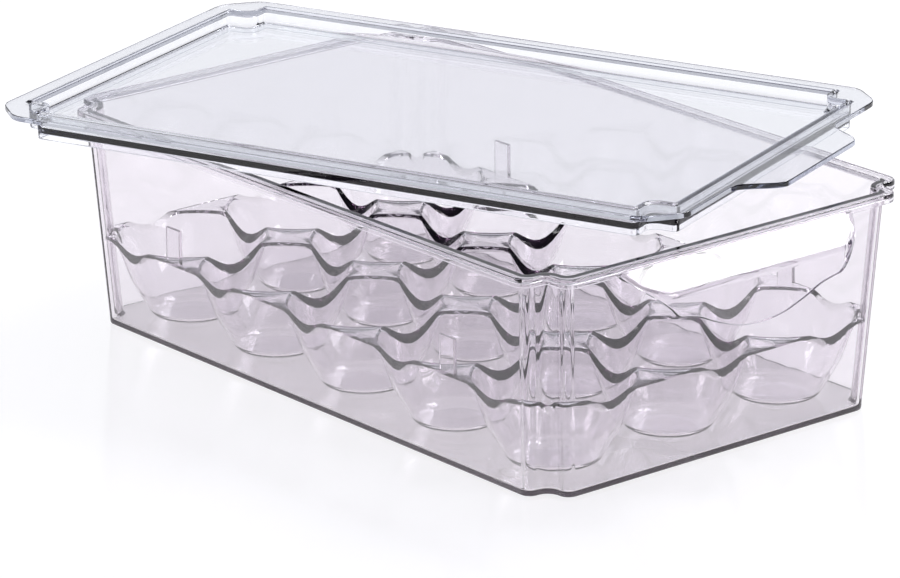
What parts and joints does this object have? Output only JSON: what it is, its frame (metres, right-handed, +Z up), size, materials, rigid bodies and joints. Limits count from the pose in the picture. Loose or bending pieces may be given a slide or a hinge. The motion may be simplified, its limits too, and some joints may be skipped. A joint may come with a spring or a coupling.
{
  "type": "egg box",
  "caption": "Clear lidded egg box: a fluted bin with a moulded finger pull, a lift-out tray of round cups, and a loose lid lying askew on the rim.",
  "frame": {"origin": "middle of the bin's underside, on the surface that the box stands on", "axes": "+X along the bin towards the end with the finger pull, +Y across it, +Z up"},
  "size_m": [0.2994, 0.229, 0.0837],
  "materials": {
    "bin": "clear gloss",
    "egg_tray": "clear gloss",
    "lid": "clear gloss"
  },
  "bodies": {
    "bin": {"bin": "bin"},
    "egg_tray": {"egg_tray": "egg_tray"},
    "lid": {"lid": "lid"}
  },
  "joints": [
    {"name": "tray_lift", "type": "slide", "parent": "bin", "child": "egg_tray", "axis": [0, 0, 1], "range_m": [0, 0.08]},
    {"name": "lid_lift", "type": "slide", "parent": "egg_tray", "child": "lid", "axis": [0, 0, 1], "range_m": [0, 0.08]}
  ]
}
